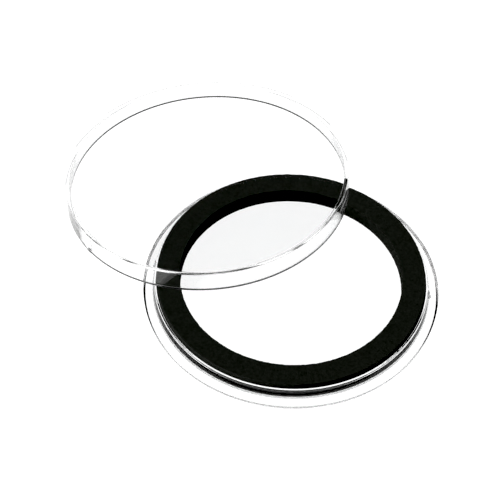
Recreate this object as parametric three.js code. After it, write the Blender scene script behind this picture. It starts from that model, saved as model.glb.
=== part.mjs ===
// Round coin capsule, shown open: a clear lower shell holding a die-cut foam ring, and a clear
// lid that leans on the ring with its back edge on the table.
// Millimetres, +Z up. The origin is the centre of the lower shell's underside.

import * as THREE from 'three';

// ---- driving dimensions ----------------------------------------------------------------

const SEGMENTS = 120;            // flats round every turned piece

const FLANGE_RADIUS = 27.55;     // lower shell, at the top of its edge
const FLANGE_MIDDLE_RADIUS = 27.5;
const FLANGE_FOOT_RADIUS = 27.15;
const FLANGE_BEVEL_HEIGHT = 0.7; // the edge is bevelled below this height
const FLOOR_THICKNESS = 1.2;     // lower shell's disc
const RIM_INNER_RADIUS = 25.05;  // upright rim that holds the foam ring
const RIM_ROOT_RADIUS = 25.8;    // its outside, at the disc
const RIM_TOP_RADIUS = 25.4;
const RIM_HEIGHT = 2.1;          // above the disc

const RING_INNER_RADIUS = 20.55; // opening for a coin 41 mm across
const RING_OUTER_RADIUS = 24.95;
const RING_THICKNESS = 3.1;      // it stands proud of the rim

const LID_HEIGHT = 4.5;          // whole height of the lid
const LID_FOOT_RADIUS = 27.4;    // at its lower edge
const LID_TOP_RADIUS = 27.22;
const LID_DISC_THICKNESS = 1.0;
const SKIRT_FOOT_RADIUS = 26.55; // inside of the lid's skirt
const SKIRT_ROOT_RADIUS = 26.5;

const LID_OFFSET = 27.6;         // sideways, from the lower shell's axis to the lid's centre
const LID_DIRECTION = 125.9;     // degrees from +X towards +Y
const REST_GAP = 0.3;            // between the leaning lid's skirt and the foam ring

// ---- dimensions that follow ------------------------------------------------------------

const RIM_TOP = FLOOR_THICKNESS + RIM_HEIGHT;
const RING_TOP = FLOOR_THICKNESS + RING_THICKNESS;
const LID_DEPTH = LID_HEIGHT - LID_DISC_THICKNESS;

// ---- materials -------------------------------------------------------------------------

const clearPlastic = new THREE.MeshStandardMaterial({
  color: 0xf4f8fa,
  roughness: 0.05,
  metalness: 0,
  transparent: true,
  opacity: 0.3,
});

const blackFoam = new THREE.MeshStandardMaterial({
  color: 0x0b0b0b,
  roughness: 0.95,
  metalness: 0,
});

// ---- helpers ---------------------------------------------------------------------------

// Turns a profile of [radius, height] points about +Z. The points go round counter-clockwise
// with radius to the right and height up, which keeps the faces pointing out.
function turned(profile) {
  const points = profile.map(([radius, height]) => new THREE.Vector2(radius, height));
  return new THREE.LatheGeometry(points, SEGMENTS).rotateX(Math.PI / 2);
}

function part(name, geometry, material) {
  const mesh = new THREE.Mesh(geometry, material);
  mesh.name = name;
  return mesh;
}

// The lid stands on the back edge of its skirt and on the foam ring's outer edge. The skirt's
// inner circle crosses the ring's outer circle at two points, and the lid's lower face is
// REST_GAP above the ring there.
function leanAngle() {
  const crossing = (RING_OUTER_RADIUS ** 2 + LID_OFFSET ** 2 - SKIRT_FOOT_RADIUS ** 2) / (2 * LID_OFFSET);
  const reach = LID_OFFSET - crossing;
  const rise = RING_TOP + REST_GAP;
  let low = 0;
  let high = Math.PI / 4;
  for (let step = 0; step < 50; step += 1) {
    const middle = (low + high) / 2;
    const height = LID_FOOT_RADIUS * Math.sin(middle) + reach * Math.tan(middle);
    if (height < rise) low = middle;
    else high = middle;
  }
  return high;
}

// ---- pieces ----------------------------------------------------------------------------

// A flat disc with a flange outside its upright rim, where the closed lid's skirt sits.
function lowerShell() {
  return part('lower_shell', turned([
    [0, 0],
    [FLANGE_FOOT_RADIUS, 0],
    [FLANGE_MIDDLE_RADIUS, FLANGE_BEVEL_HEIGHT],
    [FLANGE_RADIUS, FLOOR_THICKNESS],
    [RIM_ROOT_RADIUS, FLOOR_THICKNESS],
    [RIM_TOP_RADIUS, RIM_TOP],
    [RIM_INNER_RADIUS, RIM_TOP],
    [RIM_INNER_RADIUS, FLOOR_THICKNESS],
    [0, FLOOR_THICKNESS],
  ]), clearPlastic);
}

// A plain ring with a square section, cut from foam sheet.
function foamRing() {
  const ring = part('foam_ring', turned([
    [RING_INNER_RADIUS, 0],
    [RING_OUTER_RADIUS, 0],
    [RING_OUTER_RADIUS, RING_THICKNESS],
    [RING_INNER_RADIUS, RING_THICKNESS],
    [RING_INNER_RADIUS, 0],
  ]), blackFoam);
  ring.position.z = FLOOR_THICKNESS;
  return ring;
}

// A flat disc with a skirt below its edge, open side down.
function lid() {
  return part('lid', turned([
    [0, LID_DEPTH],
    [SKIRT_ROOT_RADIUS, LID_DEPTH],
    [SKIRT_FOOT_RADIUS, 0],
    [LID_FOOT_RADIUS, 0],
    [LID_TOP_RADIUS, LID_HEIGHT],
    [0, LID_HEIGHT],
  ]), clearPlastic);
}

// ---- assembly --------------------------------------------------------------------------

const direction = THREE.MathUtils.degToRad(LID_DIRECTION);
const lean = leanAngle();

const leaningLid = new THREE.Group();
leaningLid.position.set(
  LID_OFFSET * Math.cos(direction),
  LID_OFFSET * Math.sin(direction),
  LID_FOOT_RADIUS * Math.sin(lean),
);
leaningLid.setRotationFromAxisAngle(
  new THREE.Vector3(-Math.sin(direction), Math.cos(direction), 0),
  lean,
);
leaningLid.add(lid());

const capsule = new THREE.Group();
capsule.add(lowerShell(), foamRing(), leaningLid);

export default capsule;
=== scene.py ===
import math

import bmesh
import bpy
from mathutils import Matrix, Vector, noise


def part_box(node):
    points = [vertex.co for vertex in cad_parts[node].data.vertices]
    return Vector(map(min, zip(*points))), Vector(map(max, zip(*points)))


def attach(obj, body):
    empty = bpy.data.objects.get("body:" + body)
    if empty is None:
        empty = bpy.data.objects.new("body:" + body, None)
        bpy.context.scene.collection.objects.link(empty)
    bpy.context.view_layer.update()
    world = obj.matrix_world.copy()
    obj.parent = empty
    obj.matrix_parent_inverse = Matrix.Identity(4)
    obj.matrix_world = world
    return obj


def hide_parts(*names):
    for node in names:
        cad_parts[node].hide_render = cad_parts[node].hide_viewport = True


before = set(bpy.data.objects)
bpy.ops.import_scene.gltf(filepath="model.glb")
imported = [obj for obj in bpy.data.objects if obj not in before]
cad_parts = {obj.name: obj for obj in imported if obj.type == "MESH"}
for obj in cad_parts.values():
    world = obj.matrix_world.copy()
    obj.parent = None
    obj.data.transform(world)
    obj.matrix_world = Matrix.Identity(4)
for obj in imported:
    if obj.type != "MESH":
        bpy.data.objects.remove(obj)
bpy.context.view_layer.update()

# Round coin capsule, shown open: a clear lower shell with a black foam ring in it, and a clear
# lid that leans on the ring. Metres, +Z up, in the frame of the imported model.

# ---- sizes -----------------------------------------------------------------------------

MM = 0.001

FLANGE_MIDDLE_RADIUS = 27.48 * MM
FLANGE_FOOT_RADIUS = 27.13 * MM
FLANGE_BEVEL_HEIGHT = 0.7 * MM
RIM_INNER_RADIUS = 25.05 * MM
RIM_ROOT_RADIUS = 25.8 * MM
RIM_TOP_RADIUS = 25.4 * MM

RING_INNER_RADIUS = 20.55 * MM

LID_HEIGHT = 4.5 * MM
LID_FOOT_RADIUS = 27.4 * MM
LID_TOP_RADIUS = 27.22 * MM
LID_DISC_THICKNESS = 1.0 * MM
SKIRT_FOOT_RADIUS = 26.55 * MM
SKIRT_ROOT_RADIUS = 26.5 * MM

INSET = 0.02 * MM                # keeps the fine surfaces inside the faceted solids' box
SHARP_EDGE = 0.08 * MM           # rounding of the flange's and the skirt's edges
LID_TOP_EDGE = 0.1 * MM          # rounding of the lid's top edge
LID_CORNER = 0.1 * MM            # rounding inside, between the disc and the skirt
RIM_EDGE = 0.12 * MM             # rounding of the rim's top
RIM_ROOT = 0.15 * MM             # rounding at the rim's foot
CUT_EDGE = 0.06 * MM             # rounding of the foam's edges

shell_low, shell_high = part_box("lower_shell")
ring_low, ring_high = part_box("foam_ring")
lid_low, lid_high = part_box("lid")

FLANGE_RADIUS = shell_high[0] - INSET
RIM_TOP = shell_high[2]
DISC_TOP = ring_low[2]           # of the lower shell's disc, which the ring lies on
RING_TOP = ring_high[2]
RING_OUTER_RADIUS = ring_high[0] - INSET

# ---- camera ----------------------------------------------------------------------------

CAMERA_ELEVATION = 50.0          # degrees
CAMERA_ROLL = 1.32               # degrees
CAMERA_DISTANCE = 352.0 * MM
CAMERA_AIM = Vector((-7.78, 7.84, 2.0)) * MM
CAMERA_LENS = 134.1              # millimetres, as is the sensor
CAMERA_SENSOR = 36.0
CAMERA_CLIP = (0.01, 20.0)       # metres


def add_camera():
    camera = bpy.data.objects.new("camera", bpy.data.cameras.new("camera"))
    bpy.context.scene.collection.objects.link(camera)
    camera.data.sensor_width = CAMERA_SENSOR
    camera.data.lens = CAMERA_LENS
    camera.data.clip_start, camera.data.clip_end = CAMERA_CLIP
    tip = Matrix.Rotation(math.radians(90.0 - CAMERA_ELEVATION), 4, "X")
    roll = Matrix.Rotation(math.radians(CAMERA_ROLL), 4, "Z")
    back = Matrix.Translation((0.0, 0.0, CAMERA_DISTANCE))
    camera.matrix_world = Matrix.Translation(CAMERA_AIM) @ tip @ roll @ back
    bpy.context.scene.camera = camera


add_camera()

# ---- mesh helpers ----------------------------------------------------------------------

ARC_STEPS = 6                    # in each rounded edge
FLAT_STEP = 0.25                 # of the edge's radius
SEGMENTS = 720                   # round each piece
ON_AXIS = 1e-7                   # nearer the axis than this is one point, not a circle


def rounded(corners):
    """A closed outline of (radius, height, edge radius) corners, with each corner rounded. A short
    flat step next to each arc keeps its shading off the flat faces."""
    outline = []
    for i, (x, z, edge) in enumerate(corners):
        corner = Vector((x, z))
        before = (Vector(corners[i - 1][:2]) - corner).normalized()
        after = (Vector(corners[(i + 1) % len(corners)][:2]) - corner).normalized()
        if edge == 0.0:
            outline.append(corner)
            continue
        half = before.angle(after) / 2.0
        reach = edge / math.tan(half)
        centre = corner + (before + after).normalized() * (edge / math.sin(half))
        start = corner + before * reach
        end = corner + after * reach
        turn = (start - centre).angle_signed(end - centre)
        outline.append(start + before * FLAT_STEP * edge)
        for k in range(ARC_STEPS + 1):
            turned_by = Matrix.Rotation(turn * k / ARC_STEPS, 2)
            outline.append(centre + (start - centre) @ turned_by)
        outline.append(end + after * FLAT_STEP * edge)
    return outline


def turned(name, outline, shape):
    """Turns a closed outline about +Z. shape(angle, radius, height) says where each point goes."""
    angles = [2.0 * math.pi * k / SEGMENTS for k in range(SEGMENTS)]
    mesh = bpy.data.meshes.new(name)
    bm = bmesh.new()
    loops = []
    for point in outline:
        if point.x < ON_AXIS:
            loops.append([bm.verts.new((0.0, 0.0, point.y))])
            continue
        loop = []
        for angle in angles:
            radius, height = shape(angle, *point)
            loop.append(bm.verts.new((radius * math.cos(angle), radius * math.sin(angle), height)))
        loops.append(loop)
    for here, there in zip(loops, loops[1:] + loops[:1]):
        if len(here) == 1 and len(there) == 1:
            continue
        for k in range(SEGMENTS):
            n = (k + 1) % SEGMENTS
            if len(here) == 1:
                bm.faces.new((here[0], there[k], there[n]))
            elif len(there) == 1:
                bm.faces.new((here[k], there[0], here[n]))
            else:
                bm.faces.new((here[k], there[k], there[n], here[n]))
    bmesh.ops.recalc_face_normals(bm, faces=bm.faces)
    bm.to_mesh(mesh)
    bm.free()
    mesh.shade_smooth()
    piece = bpy.data.objects.new(name, mesh)
    bpy.context.scene.collection.objects.link(piece)
    return piece


# ---- materials -------------------------------------------------------------------------

PLAIN_NOISE = 1.0                # how much fine detail each noise has
NOISE = 3.0
FINE_NOISE = 6.0

PLASTIC_IOR = 1.49
CLEAR = (1.0, 1.0, 1.0, 1.0)
FAINT_TINT = (0.985, 0.99, 0.992, 1.0)
TINT_SIZE = 4.0 * MM
RIPPLE_SIZE = 0.15 * MM
LOWER_RIPPLE = 0.0012 * MM       # it evens out the light that runs round inside the disc
LID_RIPPLE = 0.0001 * MM

FOAM_DARK = (0.034, 0.035, 0.033, 1.0)
FOAM_PALE = (0.05, 0.052, 0.048, 1.0)
FOAM_MOTTLE = 0.5 * MM
FOAM_PATCH = 1.2 * MM
FOAM_ROUGHNESS = (0.8, 1.0)
FOAM_SPECULAR = 0.2
FOAM_CELL = 0.16 * MM
FOAM_CELL_DEPTH = 0.02 * MM
FOAM_CELL_LIMITS = (0.1, 0.5)    # of a cell's size, from its flat middle to its wall
FOAM_LUMP = 0.7 * MM
FOAM_LUMP_HEIGHT = 0.03 * MM


def new_material(name):
    material = bpy.data.materials.new(name)
    material.use_nodes = True
    return material, material.node_tree, material.node_tree.nodes["Principled BSDF"]


def node(tree, kind, **inputs):
    made = tree.nodes.new(kind)
    for name, value in inputs.items():
        made.inputs[name].default_value = value
    return made


def grain(tree, size, detail):
    """Noise with lumps of this size, in the piece's own coordinates."""
    place = tree.nodes.new("ShaderNodeTexCoord")
    lumps = node(tree, "ShaderNodeTexNoise", Scale=1.0 / size, Detail=detail)
    tree.links.new(place.outputs["Object"], lumps.inputs["Vector"])
    return lumps.outputs["Fac"]


def cells(tree, size):
    """Distance from the middle of the nearest cell, for cells of this size."""
    place = tree.nodes.new("ShaderNodeTexCoord")
    pits = node(tree, "ShaderNodeTexVoronoi", Scale=1.0 / size)
    tree.links.new(place.outputs["Object"], pits.inputs["Vector"])
    return pits.outputs["Distance"]


def combined(tree, operation, *values):
    made = tree.nodes.new("ShaderNodeMath")
    made.operation = operation
    for value, socket in zip(values, made.inputs):
        tree.links.new(value, socket)
    return made.outputs["Value"]


def spread(tree, value, low, high, from_low=0.0, from_high=1.0):
    """Maps a value between from_low and from_high to one between low and high."""
    made = tree.nodes.new("ShaderNodeMapRange")
    made.inputs["From Min"].default_value = from_low
    made.inputs["From Max"].default_value = from_high
    made.inputs["To Min"].default_value = low
    made.inputs["To Max"].default_value = high
    tree.links.new(value, made.inputs["Value"])
    return made.outputs["Result"]


def mixed(tree, value, first, second):
    """A colour that goes from the first to the second as the value goes from 0 to 1."""
    made = tree.nodes.new("ShaderNodeMix")
    made.data_type = "RGBA"
    colours = [socket for socket in made.inputs if socket.type == "RGBA"]
    colours[0].default_value = first
    colours[1].default_value = second
    tree.links.new(value, made.inputs["Factor"])
    return [socket for socket in made.outputs if socket.type == "RGBA"][0]


def raised(tree, value, height, under=None):
    """A bump of this height, on top of another bump if there is one."""
    made = node(tree, "ShaderNodeBump", Strength=1.0, Distance=height)
    tree.links.new(value, made.inputs["Height"])
    if under:
        tree.links.new(under, made.inputs["Normal"])
    return made.outputs["Normal"]


def clear_plastic(name, ripple_height):
    material, tree, shader = new_material(name)
    shader.inputs["IOR"].default_value = PLASTIC_IOR
    shader.inputs["Transmission Weight"].default_value = 1.0
    shader.inputs["Roughness"].default_value = 0.0
    tint = mixed(tree, grain(tree, TINT_SIZE, NOISE), CLEAR, FAINT_TINT)
    tree.links.new(tint, shader.inputs["Base Color"])
    ripple = raised(tree, grain(tree, RIPPLE_SIZE, PLAIN_NOISE), ripple_height)
    tree.links.new(ripple, shader.inputs["Normal"])
    return material


def black_foam():
    material, tree, shader = new_material("black_foam")
    mottle = mixed(tree, grain(tree, FOAM_MOTTLE, FINE_NOISE), FOAM_DARK, FOAM_PALE)
    tree.links.new(mottle, shader.inputs["Base Color"])
    patches = spread(tree, grain(tree, FOAM_PATCH, NOISE), *FOAM_ROUGHNESS)
    tree.links.new(patches, shader.inputs["Roughness"])
    shader.inputs["Specular IOR Level"].default_value = FOAM_SPECULAR
    walls = spread(tree, cells(tree, FOAM_CELL), 0.0, 1.0, *FOAM_CELL_LIMITS)
    pits = raised(tree, walls, FOAM_CELL_DEPTH)
    lumps = raised(tree, grain(tree, FOAM_LUMP, NOISE), FOAM_LUMP_HEIGHT, pits)
    tree.links.new(lumps, shader.inputs["Normal"])
    return material


def mark(angle, middle, width):
    """How much of a small moulding mark is at this angle, from 0 to 1. The middle and the width
    are in degrees."""
    off = (math.degrees(angle) - middle + 180.0) % 360.0 - 180.0
    return math.exp(-((off / width) ** 2))


# ---- lower shell -----------------------------------------------------------------------

RIM_MARKS = (172.0, 110.0, 60.0, 356.0)      # degrees from +X towards +Y
RIM_MARK_WIDTH = 0.9                         # degrees
RIM_MARK_DEPTH = 0.2 * MM


def shell_shape(angle, radius, height):
    """Raises the ejector marks on the outside of the rim."""
    if RIM_TOP_RADIUS - RIM_EDGE < radius < RIM_ROOT_RADIUS + RIM_ROOT and height > DISC_TOP:
        for middle in RIM_MARKS:
            radius += RIM_MARK_DEPTH * mark(angle, middle, RIM_MARK_WIDTH)
    return radius, height


def lower_shell():
    outline = rounded([
        (0.0, 0.0, 0.0),
        (FLANGE_FOOT_RADIUS, 0.0, SHARP_EDGE),
        (FLANGE_MIDDLE_RADIUS, FLANGE_BEVEL_HEIGHT, SHARP_EDGE),
        (FLANGE_RADIUS, DISC_TOP, SHARP_EDGE),
        (RIM_ROOT_RADIUS, DISC_TOP, RIM_ROOT),
        (RIM_TOP_RADIUS, RIM_TOP, RIM_EDGE),
        (RIM_INNER_RADIUS, RIM_TOP, RIM_EDGE),
        (RIM_INNER_RADIUS, DISC_TOP, RIM_ROOT),
        (0.0, DISC_TOP, 0.0),
    ])
    piece = turned("lower_shell_moulding", outline, shell_shape)
    piece.data.materials.append(clear_plastic("clear_plastic_lower", LOWER_RIPPLE))
    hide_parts("lower_shell")
    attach(piece, "lower_shell")


# ---- foam ring -------------------------------------------------------------------------

FLOAT = 0.01 * MM                # the ring stays clear of the disc under it
PRESSED = 0.08 * MM              # into the rim's face, more than CUT_LOSS, so no air is left there
PRESSED_HEIGHT = 1.2 * MM        # up to here, from the top of the disc
RELEASED_HEIGHT = 1.44 * MM      # from here up the ring is free of the rim
WAVE_SIZE = 3.0 * MM             # waviness of the cut faces
WAVE_DEPTH = 0.02 * MM
TEAR_SIZE = 0.6 * MM             # raggedness of the cut faces
TEAR_DEPTH = 0.05 * MM
CUT_LOSS = 0.03 * MM             # the cut faces lie this far inside the ring's plain shape
TOP_LOSS = 0.01 * MM

RING_MIDDLE_HEIGHT = (DISC_TOP + RING_TOP) / 2.0
RING_MIDDLE_RADIUS = (RING_INNER_RADIUS + RING_OUTER_RADIUS) / 2.0
OPENING_REACH = 22.0 * MM        # points nearer the axis than this are on the opening's face


def foam_shape(angle, radius, height):
    """Moves a point of the ring a little, as die-cut foam is never quite true."""
    place = Vector((radius * math.cos(angle), radius * math.sin(angle), height))
    wave = WAVE_DEPTH * noise.noise(place / WAVE_SIZE)
    tear = TEAR_DEPTH * noise.noise(place / TEAR_SIZE)
    shift = wave + tear
    if height > RING_MIDDLE_HEIGHT:
        height += min(0.0, shift - TOP_LOSS)
    if radius > OPENING_REACH:
        radius += shift - CUT_LOSS
    else:
        radius -= shift - CUT_LOSS
    return radius, height


def foam_ring():
    outline = rounded([
        (RING_INNER_RADIUS, DISC_TOP + FLOAT, CUT_EDGE),
        (RIM_INNER_RADIUS + PRESSED, DISC_TOP + FLOAT, CUT_EDGE),
        (RIM_INNER_RADIUS + PRESSED, DISC_TOP + PRESSED_HEIGHT, 0.0),
        (RING_OUTER_RADIUS, DISC_TOP + RELEASED_HEIGHT, 0.0),
        (RING_OUTER_RADIUS, RING_TOP, CUT_EDGE),
        (RING_MIDDLE_RADIUS, RING_TOP, 0.0),
        (RING_INNER_RADIUS, RING_TOP, CUT_EDGE),
        (RING_INNER_RADIUS, RING_MIDDLE_HEIGHT, 0.0),
    ])
    piece = turned("foam_spacer", outline, foam_shape)
    piece.data.materials.append(black_foam())
    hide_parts("foam_ring")
    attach(piece, "foam_ring")


# ---- lid -------------------------------------------------------------------------------

GATE_ANGLE = 217.0               # degrees, where the plastic flowed into the mould
GATE_WIDTH = 1.6                 # degrees
GATE_DEPTH = 0.1 * MM
SKIRT_OUTSIDE = 26.65 * MM       # points further out than this are on the skirt's outside
SETTLING_STEPS = 5               # enough for the direction the lid leans in to settle


def lid_shape(angle, radius, height):
    """Raises the trimmed gate on the outside of the skirt."""
    if radius > SKIRT_OUTSIDE:
        radius += GATE_DEPTH * mark(angle, GATE_ANGLE, GATE_WIDTH)
    return radius, height


def lid_place():
    """Where the leaning lid is, from its box. Its lower and upper edges give the box's height.
    It leans away towards -X and +Y, so its lower edge gives the box's +X and -Y sides."""
    both = LID_FOOT_RADIUS + LID_TOP_RADIUS
    height = lid_high[2] - lid_low[2]
    lean = math.asin(height / math.hypot(both, LID_HEIGHT)) - math.atan2(LID_HEIGHT, both)
    centre = (Vector(lid_low) + Vector(lid_high)) / 2.0
    centre.z = lid_low[2] + LID_FOOT_RADIUS * math.sin(lean)
    for _ in range(SETTLING_STEPS):
        away = Vector((centre.x, centre.y, 0.0)).normalized() * math.sin(lean)
        centre.x = lid_high[0] - LID_FOOT_RADIUS * math.sqrt(1.0 - away.x ** 2)
        centre.y = lid_low[1] + LID_FOOT_RADIUS * math.sqrt(1.0 - away.y ** 2)
    hinge = Vector((-centre.y, centre.x, 0.0)).normalized()
    return Matrix.Translation(centre) @ Matrix.Rotation(lean, 4, hinge)


def lid():
    ceiling = LID_HEIGHT - LID_DISC_THICKNESS
    outline = rounded([
        (0.0, ceiling, 0.0),
        (SKIRT_ROOT_RADIUS, ceiling, LID_CORNER),
        (SKIRT_FOOT_RADIUS, INSET, SHARP_EDGE),
        (LID_FOOT_RADIUS - INSET, INSET, SHARP_EDGE),
        (LID_TOP_RADIUS - INSET, LID_HEIGHT - INSET, LID_TOP_EDGE),
        (0.0, LID_HEIGHT - INSET, 0.0),
    ])
    piece = turned("lid_moulding", outline, lid_shape)
    piece.data.transform(lid_place())
    piece.data.materials.append(clear_plastic("clear_plastic_lid", LID_RIPPLE))
    piece.visible_shadow = False     # the lamp's light goes through the clear plastic
    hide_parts("lid")
    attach(piece, "lid")


lower_shell()
foam_ring()
lid()

# ---- floor and light -------------------------------------------------------------------

FLOOR_RADIUS = 0.75              # metres
FLOOR_SEGMENTS = 96
FLOOR_DROP = 0.02 * MM           # below the pieces that stand on it
FLOOR_GREY = (0.1, 0.1, 0.1, 1.0)
FLOOR_LIGHT = (1.0, 1.0, 1.0, 1.0)
FLOOR_GLOW = 1.12

KEY_STRENGTH = 4.7
KEY_SOFTNESS = 20.0              # degrees across
KEY_LEFT = 40.0                  # degrees from straight above, to the left
KEY_FRONT = 10.0                 # degrees from straight above, to the front

# Brightness of the studio at the sine of each height above the horizon.
STUDIO = [(0.0, 0.85), (0.13, 0.85), (0.36, 0.04), (0.9, 0.04), (0.96, 0.5), (1.0, 0.5)]

# Low down to the left and right only this much of that brightness is left. It grows back to the
# whole of it between these limits, measured along Y or up, whichever is further.
SIDE_LIGHT = 0.05
SIDE_LIMITS = (0.4, 0.8)


def floor():
    mesh = bpy.data.meshes.new("floor")
    bm = bmesh.new()
    bmesh.ops.create_circle(bm, cap_ends=True, radius=FLOOR_RADIUS, segments=FLOOR_SEGMENTS)
    bm.to_mesh(mesh)
    bm.free()
    piece = bpy.data.objects.new("floor", mesh)
    piece.location.z = -FLOOR_DROP
    bpy.context.scene.collection.objects.link(piece)
    material, _, shader = new_material("floor")
    shader.inputs["Base Color"].default_value = FLOOR_GREY
    shader.inputs["Roughness"].default_value = 1.0
    shader.inputs["Emission Color"].default_value = FLOOR_LIGHT
    shader.inputs["Emission Strength"].default_value = FLOOR_GLOW
    piece.data.materials.append(material)


def key_light():
    """A broad lamp high on the left. It lights the matt foam and leaves no glare on the plastic."""
    lamp = bpy.data.objects.new("key_light", bpy.data.lights.new("key_light", "SUN"))
    bpy.context.scene.collection.objects.link(lamp)
    lamp.data.energy = KEY_STRENGTH
    lamp.data.angle = math.radians(KEY_SOFTNESS)
    lamp.rotation_euler = (math.radians(KEY_FRONT), math.radians(-KEY_LEFT), 0.0)
    lamp.visible_glossy = False
    lamp.visible_transmission = False


def surroundings():
    world = bpy.data.worlds.new("studio")
    bpy.context.scene.world = world
    world.use_nodes = True
    tree = world.node_tree
    place = tree.nodes.new("ShaderNodeTexCoord")
    split = tree.nodes.new("ShaderNodeSeparateXYZ")
    ramp = tree.nodes.new("ShaderNodeValToRGB")
    stops = ramp.color_ramp.elements
    while len(stops) < len(STUDIO):
        stops.new(0.5)
    for stop, (height, light) in zip(stops, STUDIO):
        stop.position = height
        stop.color = (light, light, light, 1.0)
    tree.links.new(place.outputs["Generated"], split.inputs["Vector"])
    tree.links.new(split.outputs["Z"], ramp.inputs["Fac"])
    ahead = combined(tree, "ABSOLUTE", split.outputs["Y"])
    ahead = combined(tree, "MAXIMUM", ahead, split.outputs["Z"])
    tree.links.new(ramp.outputs["Color"], tree.nodes["Background"].inputs["Color"])
    strength = spread(tree, ahead, SIDE_LIGHT, 1.0, *SIDE_LIMITS)
    tree.links.new(strength, tree.nodes["Background"].inputs["Strength"])


floor()
key_light()
surroundings()

# ---- tone and light paths --------------------------------------------------------------

GAMMA = 0.85
BLACK_LEVEL = 0.045
LIGHT_BOUNCES = 64               # light runs a long way round inside the clear discs

scene = bpy.context.scene
tone = scene.view_settings
tone.view_transform = "Standard"
tone.gamma = GAMMA
tone.use_curve_mapping = True
tone.curve_mapping.black_level = (BLACK_LEVEL, BLACK_LEVEL, BLACK_LEVEL)
tone.curve_mapping.update()
scene.cycles.max_bounces = LIGHT_BOUNCES
scene.cycles.transmission_bounces = LIGHT_BOUNCES
scene.cycles.glossy_bounces = LIGHT_BOUNCES
